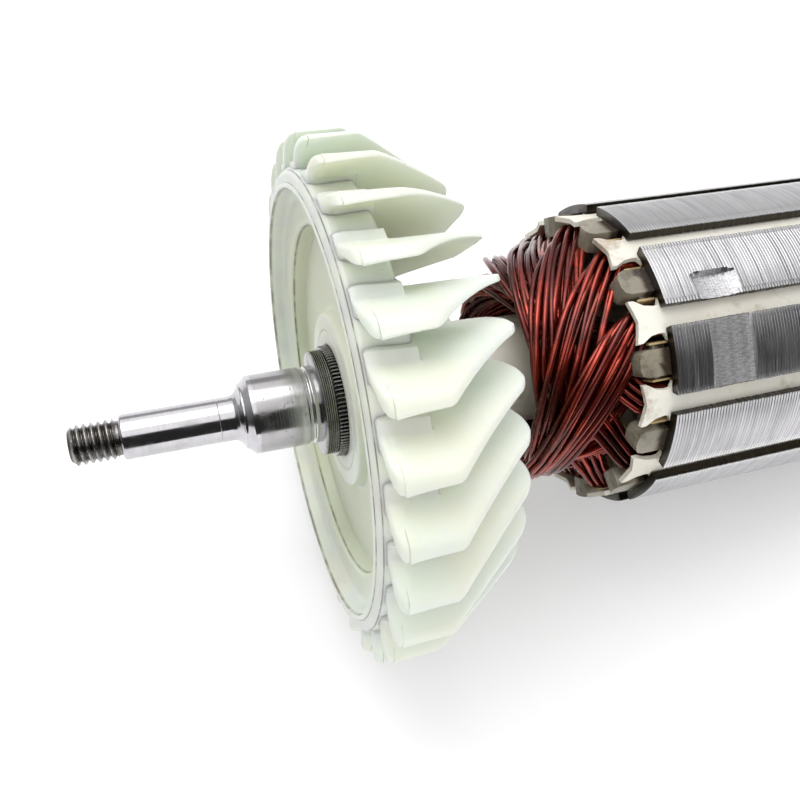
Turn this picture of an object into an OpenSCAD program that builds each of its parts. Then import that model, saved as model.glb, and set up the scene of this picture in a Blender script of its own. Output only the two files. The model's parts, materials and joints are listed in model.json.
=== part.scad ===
// Armature of a universal motor, as used in a large hand-held grinder.
// All sizes are in millimetres. Stations run along the axis from the front
// rim of the fan (0) towards the commutator; the pinion end is negative.
// The finished armature lies on two fan blades and one edge of its core.

/* [Fan] */
// outside diameter over the blades
fan_dia = 80.2; // [60:0.1:110]
// number of blades
blade_count = 28; // [16:1:36]
// station of the blades' free tips
fan_length = 22.2; // [16:0.1:32]
// diameter of the front opening
fan_opening_dia = 64.8; // [50:0.1:70]
// diameter of the step inside the opening
fan_step_dia = 53.6; // [44:0.1:60]
// diameter at the blades' inner ends, behind the web
blade_inner_dia = 42.6; // [38:0.1:47]
// thickness of a blade
blade_root = 1.7; // [1.2:0.1:4]
// lean of a blade's outer end from the radius, in degrees
blade_lean_outer = 50; // [0:1:60]
// lean of a blade's inner end from the radius, in degrees
blade_lean_inner = -4; // [-20:1:40]
// width of the rim between the opening and the blades' roots
rim_width = 2.9; // [2:0.1:4]
// diameter of the hub boss
fan_hub_dia = 27; // [22:0.1:32]

/* [Shaft] */
// length of the shaft in front of the fan's rim
shaft_nose = 35.6; // [25:0.1:50]
// diameter over the thread at the nose
thread_dia = 5.96; // [4:0.01:8]
// length of the thread with its undercut
thread_length = 7.2; // [4:0.1:12]
// diameter of the pinion seat
pinion_dia = 6.72; // [5:0.01:9]
// diameter of the front bearing seat
bearing_dia = 12; // [10:0.01:14]
// length of the front bearing seat
bearing_length = 7.3; // [6:0.1:9]
// diameter of the shaft inside the core
shaft_dia = 14; // [12.6:0.1:16]
// diameter of the rear bearing seat
rear_bearing_dia = 10; // [8:0.01:11]
// length of the rear bearing seat
rear_bearing_length = 12.5; // [8:0.1:16]
// diameter of the knurled bush moulded in the fan
bush_dia = 17.3; // [15.6:0.1:19]

/* [Core] */
// outside diameter of the laminations
core_dia = 50.2; // [44:0.1:54]
// station of the core's front face
core_start = 47.9; // [44:0.1:60]
// number of laminations
lamination_count = 104; // [60:1:140]
// thickness of one lamination
lamination = 0.5; // [0.35:0.05:1]
// slots round the core
slot_count = 12; // [12:1:12]
// width of a slot's mouth
slot_mouth = 3; // [2:0.1:4]
// width of a tooth's neck
tooth_width = 5; // [4.4:0.1:5.4]
// depth of a slot's body
slot_depth = 10.05; // [9:0.05:11]
// turn of the first slot from straight down, in degrees
slot_turn = 20.5; // [15:0.5:25]
// reach of a slot wedge past the core's face
wedge_reach = 4.8; // [3:0.1:6]
// station of the first balance flat, from the core's front face
flat_start = 6; // [3:0.1:40]
// length of a balance flat along the axis
flat_length = 7; // [4:0.1:10]
// depth of a balance flat
flat_depth = 0.8; // [0.4:0.05:1.2]

/* [Winding] */
// reach of the end turns out of the core
winding_reach = 20.6; // [18:0.1:22.5]
// width of an end-turn bundle
bundle_width = 8.4; // [5:0.1:8.6]
// thickness of an end-turn bundle
bundle_thick = 1.7; // [1:0.05:1.75]

/* [Commutator] */
// diameter over the bars
commutator_dia = 31; // [28:0.1:33]
// length of the bars
commutator_length = 25; // [18:0.1:30]
// number of bars
bar_count = 24; // [24:12:36]
// depth of a bar below the brush track
bar_depth = 4.2; // [3:0.1:5]
// length of a bar's riser, where the leads go in
riser_length = 2; // [1.5:0.1:4]
// distance from the commutator to the rear bearing seat
rear_gap = 3.4; // [2:0.1:8]

/* [View] */
// sub-part to show

/* [Hidden] */
$fn = 96;
fit_gap = 0.02;
pitch = 360 / slot_count;

// fan
fan_r = fan_dia / 2;
blade_pitch = 360 / blade_count;
blade_front = 2.2;
blade_knee = fan_length * 0.42;
tip_r = fan_r * 0.786;
rim_r = fan_opening_dia / 2 + rim_width;
open_r = fan_opening_dia / 2;
step_r = fan_step_dia / 2;
step_z = 2.7;
floor_z = 5.2;
web_z = 7.4;
hub_r = fan_hub_dia / 2;
hub_z = 3.5;
bush_r = bush_dia / 2;
knurl_start = hub_z - 1.2;
root_r = blade_inner_dia / 2;

// shaft
nose_z = -shaft_nose;
seat_r = bearing_dia / 2;
pinion_r = pinion_dia / 2;
seat_end = -1.6;
seat_start = seat_end - bearing_length;
shaft_r = shaft_dia / 2;

// core
core_r = core_dia / 2;
core_length = lamination_count * lamination;
core_end = core_start + core_length;
lip = 1.65;
slot_top = core_r - lip;
slot_bottom = slot_top - slot_depth;
liner = 0.3;
liner_reach = 2.6;
wedge_thick = 0.75;
plate = 2;
lug_reach = 4.9;
lug_r = 1.95;
lug_top = core_r - 1.5;
lug_height = 3.2;

// half the width of a slot's body at a radius
function slot_half(x) = x * tan(pitch / 2) - tooth_width / 2 / cos(pitch / 2);

// winding
span = 5 * pitch;
top_h = 1.7;
top_r = slot_top - wedge_thick - 0.35 - top_h - 0.15;
bottom_r = top_r * 0.7927;
crown_r = top_r + 0.8;
inner_r = bottom_r * 0.6738;
turn_start = plate + 1;
rise = winding_reach - bundle_width / 2 - turn_start;

// commutator
winding_end = core_end + winding_reach;
com_start = winding_end + 1.9;
com_end = com_start + commutator_length;
com_r = commutator_dia / 2;
com_hub_r = com_r - bar_depth;
com_bush_r = com_hub_r * 0.735;
com_shaft_r = com_bush_r - 1.5;
riser_r = com_r + 1.9;
rear_start = com_end + rear_gap;
rear_r = rear_bearing_dia / 2;
tail_z = rear_start + rear_bearing_length;

// centre line of a blade's section: an arc whose lean falls inwards
blade_depth = (fan_r - root_r) * 1.2;
blade_steps = 7;
blade_curve = (blade_lean_outer - blade_lean_inner) / blade_depth;
function blade_lean(d) = blade_lean_outer - blade_curve * d;
function blade_point(d, k = 0) = d <= 0.001 ? [fan_r, 0]
  : let (h = blade_depth / blade_steps, q = blade_point(d - h, k + 1))
    [q[0] - h * cos(blade_lean(d - h / 2)), q[1] - h * sin(blade_lean(d - h / 2))];
function blade_side(half) = [for (i = [0:blade_steps])
  let (d = i * blade_depth / blade_steps, q = blade_point(d), b = blade_lean(d))
    [q[0] - half * sin(b), q[1] + half * cos(b)]];
blade_section = concat(
  [[fan_r + 0.5, blade_root * 0.42], [fan_r + 0.5, -blade_root * 0.42]],
  blade_side(-blade_root / 2),
  [for (i = [blade_steps:-1:0]) blade_side(blade_root / 2)[i]]);

// angle at which one side of a blade's section leaves the outside diameter
function blade_corner(half) = let (
    from = half > 0 ? [fan_r + 0.5, blade_root * 0.42] : blade_side(half)[0],
    to = half > 0 ? blade_side(half)[0] : blade_side(half)[1],
    part = (norm(from) - fan_r) / (norm(from) - norm(to)),
    p = from + (to - from) * part)
  atan2(p[1], p[0]);

// resting pose: two blades and the core's rear edge touch the ground
corner_high = blade_corner(blade_root / 2);
corner_low = blade_corner(-blade_root / 2);
fan_turn = -(corner_high + corner_low) / 2;
blade_drop = fan_r * cos(blade_pitch / 2 - (corner_high - corner_low) / 2);
lie = atan((blade_drop - core_r) / (core_end - blade_knee));
axis_lift = blade_knee * sin(lie) + blade_drop * cos(lie);
low_x = nose_z * cos(lie) - thread_dia / 2 * sin(lie);
high_x = tail_z * cos(lie) + rear_r * sin(lie);
shift_x = -(low_x + high_x) / 2;

module at_rest() {
  translate([shift_x, 0, axis_lift])
    rotate([0, 90 + lie, 0])
      children();
}

// a ring about the axis, from a half-section of [radius, station] points
module lathe(points) {
  rotate_extrude()
    polygon(points);
}

module tube(inner, outer, from, to, edge = 0.4) {
  lathe([[inner, from], [outer - edge, from], [outer, from + edge],
    [outer, to - edge], [outer - edge, to], [inner, to]]);
}

module shaft() {
  color([0.72, 0.73, 0.75])
    at_rest()
      lathe([
        [0, nose_z], [thread_dia / 2 - 0.7, nose_z],
        [thread_dia / 2, nose_z + 0.7],
        [thread_dia / 2, nose_z + thread_length - 0.9],
        [thread_dia / 2 - 0.4, nose_z + thread_length - 0.7],
        [thread_dia / 2 - 0.4, nose_z + thread_length - 0.2],
        [pinion_r - 0.2, nose_z + thread_length],
        [pinion_r, nose_z + thread_length + 0.25],
        [pinion_r, seat_start - 2.7],
        [pinion_r + 0.35, seat_start - 1.8],
        [seat_r - 0.9, seat_start],
        [seat_r, seat_start + 0.9],
        [seat_r, seat_end],
        [seat_r - 0.35, seat_end + 0.15],
        [seat_r - 0.35, seat_end + 0.75],
        [seat_r, seat_end + 0.9],
        [seat_r, fan_length + 0.3],
        [shaft_r, fan_length + 0.3],
        [shaft_r, com_start - 0.5],
        [com_shaft_r, com_start - 0.5],
        [com_shaft_r, com_end + 0.4],
        [rear_r + 1.2, com_end + 0.8],
        [rear_r + 1.2, rear_start],
        [rear_r, rear_start],
        [rear_r, tail_z - 0.8],
        [rear_r - 0.8, tail_z],
        [0, tail_z]
      ]);
}

// steel bush with turned rings in front and a straight knurl in the fan
module fan_bush() {
  ring_r = bush_r - 0.55;
  ring = (knurl_start - 0.5) / 5;
  color([0.62, 0.62, 0.63])
    at_rest()
      lathe(concat(
        [[seat_r + fit_gap, 0.2], [ring_r - 0.5, 0.2]],
        [for (i = [0:4]) each [
          [ring_r - 0.02, 0.5 + i * ring],
          [ring_r - 0.02, 0.5 + (i + 0.55) * ring],
          [ring_r - 0.17, 0.5 + (i + 0.78) * ring]]],
        [[ring_r, knurl_start], [bush_r, knurl_start + 0.15], [bush_r, fan_length - 0.6],
          [seat_r + fit_gap, fan_length - 0.6]]));
}

// space swept by the blades
module blade_envelope() {
  lathe([
    [rim_r - 1.6, 1.0], [rim_r + 0.6, 0.9], [fan_r - 0.9, 1.5],
    [fan_r, blade_front + 0.3], [fan_r, blade_knee],
    [tip_r + 0.7, fan_length - 1.0], [tip_r + 0.1, fan_length - 0.2],
    [tip_r - 0.6, fan_length], [tip_r - 1.6, fan_length - 0.2],
    [tip_r * 0.81, fan_length * 0.914],
    [root_r, web_z + 1.2], [root_r, web_z - 0.8],
    [rim_r - 1.6, web_z - 0.8]]);
}

module blade_bar() {
  linear_extrude(height = fan_length + 1, scale = 1)
    polygon(blade_section);
}

module fan() {
  color([0.90, 0.94, 0.86])
    at_rest()
      union() {
        lathe([
          [bush_r + fit_gap, hub_z], [hub_r - 2.75, hub_z],
          [hub_r - 2.6, hub_z + 0.25], [hub_r - 2.4, hub_z],
          [hub_r - 0.3, hub_z], [hub_r, hub_z + 0.3],
          [hub_r + 0.2, floor_z], [step_r - 0.5, floor_z],
          [step_r, step_z + 0.5], [step_r + 0.4, step_z],
          [open_r - 1.2, step_z], [open_r - 0.5, step_z - 0.6],
          [open_r, 0.2], [open_r + 0.2, 0], [rim_r - 0.8, 0.2],
          [rim_r, 0.8], [rim_r, web_z - 0.6], [rim_r - 0.8, web_z],
          [hub_r + 0.6, web_z], [hub_r - 0.5, web_z + 1.2],
          [hub_r - 1.0, fan_length - 0.9], [hub_r - 1.4, fan_length - 0.5],
          [bush_r + fit_gap, fan_length - 0.5]]);
        for (i = [0:blade_count - 1])
          rotate([0, 0, (i + 0.5) * blade_pitch + fan_turn])
            intersection() {
              blade_bar();
              blade_envelope();
            }
      }
}

// one slot, from its floor to beyond the mouth
slot_outline = [
  [slot_bottom, -slot_half(slot_bottom) * 0.6],
  [slot_bottom + 0.5, -slot_half(slot_bottom + 0.5)],
  [slot_top - 0.2, -slot_half(slot_top - 0.2)],
  [slot_top, -slot_half(slot_top) + 0.5],
  [slot_top + 0.25, -slot_mouth / 2], [core_r + 1, -slot_mouth / 2],
  [core_r + 1, slot_mouth / 2], [slot_top + 0.25, slot_mouth / 2],
  [slot_top, slot_half(slot_top) - 0.5],
  [slot_top - 0.2, slot_half(slot_top - 0.2)],
  [slot_bottom + 0.5, slot_half(slot_bottom + 0.5)],
  [slot_bottom, slot_half(slot_bottom) * 0.6]];

module each_slot(half = 0) {
  for (i = [0:slot_count - 1])
    rotate([0, 0, slot_turn + (i + half) * pitch])
      children();
}

// flats ground into two teeth when the armature was balanced
module balance_cuts() {
  rotate([0, 0, slot_turn + 5.5 * pitch])
    translate([core_r - flat_depth, core_r * 0.03, core_start + flat_start - 0.4])
      cube([core_r, core_r / 2, flat_length + 0.4]);
  rotate([0, 0, slot_turn + 6.5 * pitch])
    translate([core_r - flat_depth, -core_r / 3, core_start + flat_start])
      cube([core_r, core_r / 1.5, flat_length]);
}

module lamination_stack() {
  color([0.55, 0.56, 0.57])
    at_rest()
      difference() {
        translate([0, 0, core_start])
          linear_extrude(height = core_length)
            difference() {
              circle(r = core_r);
              circle(r = shaft_r + fit_gap);
              each_slot()
                polygon(slot_outline);
            }
        balance_cuts();
      }
}

// moulded spider on a core face, with one lug with rounded corners on each tooth
module end_insulator() {
  difference() {
    union() {
      translate([0, 0, -plate])
        difference() {
          cylinder(r = slot_top - wedge_thick - 0.2, h = plate - fit_gap);
          each_slot()
            translate([0, 0, -1])
              linear_extrude(height = plate + 2)
                polygon([for (p = slot_outline)
                  p[0] > slot_top - 0.1 ? [core_r + 1, sign(p[1]) * slot_half(slot_top)] : p]);
        }
      each_slot(0.5) {
        translate([lug_top - lug_height, 0, 0])
          rotate([0, 90, 0])
            linear_extrude(height = lug_height)
              polygon([[fit_gap, -lug_r], [lug_reach - 1.2, -lug_r],
                [lug_reach - 0.35, 0.35 - lug_r], [lug_reach, 1.2 - lug_r],
                [lug_reach, lug_r - 1.2], [lug_reach - 0.35, lug_r - 0.35],
                [lug_reach - 1.2, lug_r], [fit_gap, lug_r]]);
      }
    }
    translate([0, 0, -lug_reach - 1])
      cylinder(r = shaft_r + fit_gap, h = lug_reach + 2);
  }
}

module end_insulator_front() {
  color([0.62, 0.63, 0.60])
    at_rest()
      translate([0, 0, core_start])
        end_insulator();
}

module end_insulator_rear() {
  color([0.62, 0.63, 0.60])
    at_rest()
      translate([0, 0, core_end])
        rotate([180, 0, 2 * slot_turn])
          end_insulator();
}

module sleeve_front() {
  color([0.86, 0.85, 0.78])
    at_rest()
      tube(shaft_r + fit_gap, shaft_r + 1.8, fan_length + 0.5,
        core_start - plate - 0.1);
}

module sleeve_rear() {
  color([0.86, 0.85, 0.78])
    at_rest()
      tube(shaft_r + fit_gap, shaft_r + 1.8, core_end + plate + 0.1,
        com_start - 0.7);
}

// paper lining a slot, open at the mouth
liner_outer = [
  [slot_bottom + fit_gap, -slot_half(slot_bottom) * 0.6 + fit_gap],
  [slot_bottom + 0.5, -slot_half(slot_bottom + 0.5) + fit_gap],
  [top_r + top_h + 0.3, -slot_half(top_r + top_h + 0.3) + fit_gap]];
liner_inner = [for (p = liner_outer)
  [p[0] + (p[0] < slot_bottom + 0.4 ? liner : 0), p[1] + liner]];
liner_half = concat(liner_outer, [for (i = [2:-1:0]) liner_inner[i]]);

module slot_liner(i) {
  color([0.80, 0.68, 0.42])
    at_rest()
      rotate([0, 0, slot_turn + i * pitch])
        translate([0, 0, core_start - liner_reach])
          linear_extrude(height = core_length + 2 * liner_reach)
            polygon(concat(
              [for (k = [2:-1:0]) liner_outer[k]],
              [for (k = [0:2]) [liner_outer[k][0], -liner_outer[k][1]]],
              [for (k = [2:-1:0]) [liner_inner[k][0], -liner_inner[k][1]]],
              [for (k = [0:2]) liner_inner[k]]));
}

// strip that closes a slot, flared like a fish's tail at both ends
module slot_wedge(i) {
  half = slot_half(slot_top - wedge_thick) - 0.35;
  neck = slot_mouth / 2 + 0.5;
  tail = [[wedge_reach - 0.9, 0], [wedge_reach - 0.45, half * 0.55],
    [wedge_reach, half], [wedge_reach - 0.9, half * 0.99],
    [wedge_reach - 2.4, neck + 0.25], [0.9, neck], [0.2, neck + 0.1],
    [-0.2, half]];
  color([0.93, 0.91, 0.80])
    at_rest()
      rotate([0, 0, slot_turn + i * pitch])
        translate([slot_top - wedge_thick - 0.05, 0, core_start])
          rotate([0, 90, 0])
            linear_extrude(height = wedge_thick)
              polygon(concat(
                [for (p = tail) [p[0], p[1]]],
                [for (k = [7:-1:0]) [-core_length - tail[k][0], tail[k][1]]],
                [for (k = [1:7]) [-core_length - tail[k][0], -tail[k][1]]],
                [for (k = [7:-1:1]) [tail[k][0], -tail[k][1]]]));
}

// an end turn runs from the outer layer of one slot to the inner layer of
// another: its angle, its distance from the core face and its radius
turn_steps = 16;
turn_shape = 0.5;
function turn_angle(q) = span * (1 - cos(180 * q)) / 2;
function turn_out(q) = rise * pow(max(sin(180 * turn_angle(q) / span), 0), turn_shape);
// every coil lies on the same spiral, so neighbours nest without touching
function free_r(t) = crown_r + (inner_r - crown_r) * t / span;
function turn_r(t, out, late) = late
  ? bottom_r + (free_r(t) - bottom_r) * min(1, out / 5.5)
  : top_r + (free_r(t) - top_r) * min(1, out / 6);
// direction along the turn, as [round the axis, out of the core]
function turn_way(q) = let (
    a = max(0, q - 0.004), b = min(1, q + 0.004),
    r = turn_r(turn_angle(q), turn_out(q), q > 0.5),
    round = (turn_angle(b) - turn_angle(a)) * PI / 180 * r,
    out = turn_out(b) - turn_out(a))
  q < 0.004 ? [0, 1] : q > 0.996 ? [0, -1] : [round, out] / norm([round, out]);
bundle_outline = [[1, 0.3], [0.6, 1], [-0.6, 1], [-1, 0.3], [-1, -0.3],
  [-0.6, -1], [0.6, -1], [1, -0.3]];
function turn_ring(q) = let (
    way = turn_way(q), out = turn_out(q), centre = turn_angle(q),
    r = turn_r(centre, out, q > 0.5),
    b = min(1, max(0, q < 0.5 ? (out - 0.5) / 5 : (out - 3) / 8)),
    thin = min(1, max(0, (out - 0.5) / 4)),
    slot_w = q < 0.5 ? 2.05 : 1.15,
    w = slot_w + (bundle_width / 2 - slot_w) * b,
    h = top_h + (bundle_thick / 2 - top_h) * thin)
  [for (e = bundle_outline) let (
      side = w * e[0] * (e[1] < 0 && thin < 0.5 ? 0.85 : 1),
      t = centre + side * way[1] / r * 180 / PI,
      far = turn_r(t, out, q > 0.5) + h * e[1])
    [far * cos(t), far * sin(t), -out + side * way[0]]];

function shifted(ring, z) = [for (p = ring) [p[0], p[1], p[2] + z]];
function mirrored(ring, z) = [for (p = ring) [p[0], p[1], z - p[2]]];

module coil(i) {
  front = [for (k = [0:turn_steps]) shifted(turn_ring(k / turn_steps), core_start - turn_start)];
  rear = [for (k = [turn_steps:-1:0]) mirrored(turn_ring(k / turn_steps), core_end + turn_start)];
  rings = concat(front, rear);
  n = len(rings);
  faces = [for (a = [0:n - 1], e = [0:7])
    [a * 8 + e, a * 8 + (e + 1) % 8, ((a + 1) % n) * 8 + (e + 1) % 8, ((a + 1) % n) * 8 + e]];
  color([0.42, 0.10, 0.06])
    at_rest()
      rotate([0, 0, slot_turn + i * pitch])
        polyhedron(points = [for (ring = rings) each ring], faces = faces, convexity = 6);
}

module commutator_bush() {
  color([0.66, 0.66, 0.67])
    at_rest()
      tube(com_shaft_r + fit_gap, com_bush_r, com_start, com_end + 0.4);
}

module commutator_hub() {
  color([0.23, 0.13, 0.09])
    at_rest()
      lathe([
        [com_bush_r + fit_gap, com_start], [com_r - 1.2, com_start],
        [com_r - 1.0, com_start + 0.3], [com_r - 1.0, com_start + 0.8],
        [com_hub_r, com_start + 0.8], [com_hub_r, com_end - 0.8],
        [com_r - 1.6, com_end - 0.8], [com_r - 1.6, com_end + 0.1],
        [com_r - 2.0, com_end + 0.4], [com_bush_r + fit_gap, com_end + 0.4]]);
}

// copper bars, each with a riser that takes two leads
module commutator_bars() {
  bar = 360 / bar_count;
  gap = 0.6 / com_r * 57.3;
  color([0.72, 0.42, 0.24])
    at_rest()
      for (i = [0:bar_count - 1])
        rotate([0, 0, slot_turn + i * bar + gap / 2])
          rotate_extrude(angle = bar - gap)
            polygon([
              [com_hub_r + fit_gap, com_start + 0.82],
              [riser_r - 0.4, com_start + 0.82],
              [riser_r, com_start + 1.2],
              [riser_r, com_start + 0.8 + riser_length],
              [com_r, com_start + 1.6 + riser_length], [com_r, com_end - 1.1],
              [com_r - 0.3, com_end - 0.82],
              [com_hub_r + fit_gap, com_end - 0.82]]);
}

// short wires from the rear end turns to the risers
module coil_leads() {
  bar = 360 / bar_count;
  color([0.45, 0.11, 0.06])
    at_rest()
      for (i = [0:bar_count - 1])
        rotate([0, 0, slot_turn + (i + 0.5) * bar])
          translate([riser_r - 1.1, 0, winding_end + 0.05])
            cylinder(r = 0.5, h = com_start + 0.75 - winding_end, $fn = 16);
}

shaft();
fan_bush();
fan();
lamination_stack();
end_insulator_front();
end_insulator_rear();
sleeve_front();
sleeve_rear();
slot_liner(0);  // slot_liner_01
slot_liner(1);  // slot_liner_02
slot_liner(2);  // slot_liner_03
slot_liner(3);  // slot_liner_04
slot_liner(4);  // slot_liner_05
slot_liner(5);  // slot_liner_06
slot_liner(6);  // slot_liner_07
slot_liner(7);  // slot_liner_08
slot_liner(8);  // slot_liner_09
slot_liner(9);  // slot_liner_10
slot_liner(10);  // slot_liner_11
slot_liner(11);  // slot_liner_12
slot_wedge(0);  // slot_wedge_01
slot_wedge(1);  // slot_wedge_02
slot_wedge(2);  // slot_wedge_03
slot_wedge(3);  // slot_wedge_04
slot_wedge(4);  // slot_wedge_05
slot_wedge(5);  // slot_wedge_06
slot_wedge(6);  // slot_wedge_07
slot_wedge(7);  // slot_wedge_08
slot_wedge(8);  // slot_wedge_09
slot_wedge(9);  // slot_wedge_10
slot_wedge(10);  // slot_wedge_11
slot_wedge(11);  // slot_wedge_12
coil(0);  // coil_01
coil(1);  // coil_02
coil(2);  // coil_03
coil(3);  // coil_04
coil(4);  // coil_05
coil(5);  // coil_06
coil(6);  // coil_07
coil(7);  // coil_08
coil(8);  // coil_09
coil(9);  // coil_10
coil(10);  // coil_11
coil(11);  // coil_12
commutator_bush();
commutator_hub();
commutator_bars();
coil_leads();
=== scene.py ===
import json
import math
import bpy
import numpy as np
from mathutils import Matrix, Vector
from mathutils.geometry import tessellate_polygon

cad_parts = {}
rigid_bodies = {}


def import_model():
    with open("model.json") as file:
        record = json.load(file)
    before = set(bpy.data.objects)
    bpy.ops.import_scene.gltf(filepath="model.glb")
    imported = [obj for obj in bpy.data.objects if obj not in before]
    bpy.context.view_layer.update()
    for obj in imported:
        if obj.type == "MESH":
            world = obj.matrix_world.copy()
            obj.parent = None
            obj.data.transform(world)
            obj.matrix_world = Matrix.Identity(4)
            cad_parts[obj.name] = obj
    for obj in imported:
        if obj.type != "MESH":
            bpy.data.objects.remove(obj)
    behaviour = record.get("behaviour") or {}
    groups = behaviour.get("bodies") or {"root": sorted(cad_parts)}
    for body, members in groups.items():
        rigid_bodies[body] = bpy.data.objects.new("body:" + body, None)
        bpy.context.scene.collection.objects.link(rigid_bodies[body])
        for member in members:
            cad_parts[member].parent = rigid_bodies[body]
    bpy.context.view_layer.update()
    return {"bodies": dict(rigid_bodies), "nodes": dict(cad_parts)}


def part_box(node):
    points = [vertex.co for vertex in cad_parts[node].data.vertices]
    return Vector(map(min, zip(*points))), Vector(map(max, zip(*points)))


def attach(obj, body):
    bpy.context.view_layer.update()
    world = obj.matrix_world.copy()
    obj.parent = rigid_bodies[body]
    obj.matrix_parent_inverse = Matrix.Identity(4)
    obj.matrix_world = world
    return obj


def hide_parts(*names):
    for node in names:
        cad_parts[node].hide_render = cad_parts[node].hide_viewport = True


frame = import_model()
bodyName = next(iter(frame["bodies"]))
print("frame loaded with", len(frame["nodes"]), "nodes")


# the armature's own axis: stations are millimetres from the fan's rim, here those of the front sleeve's
# middle and of the core's two faces; the first slot's turn is in degrees
axisPlan = {"frontSleeve": 34.25, "coreStart": 47.9, "coreEnd": 99.9, "slotTurn": 20.5}


def nodeCentre(name):
    low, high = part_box(name)
    return np.array((low + high) / 2)


# a sleeve is a plain tube, so the middle of its box lies on the axis
frontMiddle = nodeCentre("sleeve_front")
rearMiddle = nodeCentre("sleeve_rear")
along = rearMiddle - frontMiddle
along = along / np.linalg.norm(along)
down = np.array([along[2], 0.0, -along[0]])
side = np.array([0.0, 1.0, 0.0])
axisStart = frontMiddle - along * axisPlan["frontSleeve"] / 1000


def place(x, y, station):
    # x points down across the axis, y to the side; millimetres become metres in the row frame
    x, y, station = np.broadcast_arrays(x, y, station)
    spot = x[..., None] * down + y[..., None] * side + station[..., None] * along
    return axisStart + spot / 1000


def gridFaces(rows, columns, wrapRows=False, wrapColumns=False):
    # quads between neighbouring points of a rows by columns grid
    r = np.arange(rows if wrapRows else rows - 1)[:, None]
    c = np.arange(columns if wrapColumns else columns - 1)[None, :]
    nextR, nextC = (r + 1) % rows, (c + 1) % columns
    quads = np.stack(np.broadcast_arrays(
        r * columns + c, nextR * columns + c, nextR * columns + nextC, r * columns + nextC), axis=-1)
    return quads.reshape(-1, 4)


def volumeOf(points, faces):
    # six times the volume inside: triple products of each face's fan of triangles
    total = 0.0
    for group in faces:
        a = points[group[:, 0]]
        for k in range(1, group.shape[1] - 1):
            b, c = points[group[:, k]], points[group[:, k + 1]]
            total += np.einsum("ij,ij->i", a, np.cross(b, c)).sum()
    return total


def outward(points, faces):
    # the faces are turned round where the volume inside them comes out negative
    if volumeOf(points - points.mean(axis=0), faces) < 0:
        return [group[:, ::-1] for group in faces]
    return faces


def putInScene(name, data):
    item = bpy.data.objects.new(name, data)
    bpy.context.scene.collection.objects.link(item)
    return item


def buildPiece(name, points, faces, finish, stands=(), sharp=40, marks=None):
    # faces is a list of arrays, one for each number of corners
    points = np.asarray(points, float).reshape(-1, 3)
    faces = outward(points, faces)
    mesh = bpy.data.meshes.new(name)
    mesh.from_pydata(points.tolist(), [], [f for group in faces for f in group.tolist()])
    mesh.shade_smooth()
    mesh.set_sharp_from_angle(angle=math.radians(sharp))
    for key, values in (marks or {}).items():
        layer = mesh.attributes.new(key, "FLOAT", "POINT")
        layer.data.foreach_set("value", np.asarray(values, np.float32).ravel())
    mesh.materials.append(finish)
    piece = putInScene(name, mesh)
    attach(piece, bodyName)
    if stands:
        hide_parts(*stands)
    print("piece", name, "with", len(mesh.polygons), "faces")
    return piece


def fullTurn(count):
    return np.linspace(0, 2 * math.pi, count, endpoint=False)


def spin(radius, turn, station):
    # a radius and a turn about the axis become a place
    return place(radius * np.cos(turn), radius * np.sin(turn), station)


def turnedRing(profile, segments):
    # a closed loop of (radius, station) points carried round the axis
    points = spin(profile[None, :, 0], fullTurn(segments)[:, None], profile[None, :, 1])
    return points.reshape(-1, 3), [gridFaces(segments, len(profile), True, True)]


def roundedProfile(corners, bevel, steps=4, guard=0.10):
    # each corner of a closed outline becomes a short arc, no longer than a third of its sides, with one
    # more point before and after it, so that the long sides stay flat in the shading
    corners = np.asarray(corners, float)
    toBefore, toAfter = np.roll(corners, 1, axis=0) - corners, np.roll(corners, -1, axis=0) - corners

    def towards(way, reach, most):
        # a point on the way to the next corner, at this reach but no further than a share of the side
        length = np.linalg.norm(way, axis=1, keepdims=True)
        return corners + way / length * np.minimum(reach, length * most)

    start, end = towards(toBefore, bevel, 1 / 3), towards(toAfter, bevel, 1 / 3)
    first, last = towards(toBefore, bevel + guard, 0.45), towards(toAfter, bevel + guard, 0.45)
    t = np.linspace(0, 1, steps)[None, :, None]
    curve = (1 - t) ** 2 * start[:, None] + 2 * t * (1 - t) * corners[:, None] + t ** 2 * end[:, None]
    return np.concatenate([first[:, None], curve, last[:, None]], axis=1).reshape(-1, 2)


def newGroup(name, inputs, outputs):
    tree = bpy.data.node_groups.new(name, "ShaderNodeTree")
    for label, kind, value in inputs:
        socket = tree.interface.new_socket(label, in_out="INPUT", socket_type="NodeSocket" + kind)
        if value is not None:
            socket.default_value = value
    for label, kind in outputs:
        tree.interface.new_socket(label, in_out="OUTPUT", socket_type="NodeSocket" + kind)
    return tree, tree.nodes.new("NodeGroupInput"), tree.nodes.new("NodeGroupOutput")


def feed(tree, socket, value):
    # a socket is linked, a plain value is set, and a colour of three numbers gets its fourth
    if isinstance(value, bpy.types.NodeSocket):
        tree.links.new(value, socket)
    elif socket.type == "RGBA":
        socket.default_value = (*value, 1.0)[:4]
    else:
        socket.default_value = value


def add(tree, kind, settings=None, **links):
    # settings are the node's own choices; links give each input a value or a socket, by name or as i0, i1
    node = tree.nodes.new("ShaderNode" + kind)
    for key, value in (settings or {}).items():
        setattr(node, key, value)
    for key, value in links.items():
        numbered = key[0] == "i" and key[1:].isdigit()
        feed(tree, node.inputs[int(key[1:]) if numbered else key.replace("_", " ")], value)
    return node


def calc(tree, operation, *values):
    inputs = {f"i{k}": value for k, value in enumerate(values)}
    return add(tree, "Math", {"operation": operation}, **inputs).outputs[0]


def times(tree, product, *others):
    for value in others:
        product = calc(tree, "MULTIPLY", product, value)
    return product


def ramp(tree, value, low, high, start=0.0, end=1.0):
    # a value from start to end as the input goes from low to high
    return add(tree, "MapRange", {"interpolation_type": "SMOOTHSTEP"}, Value=value,
               From_Min=low, From_Max=high, To_Min=start, To_Max=end).outputs[0]


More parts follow.
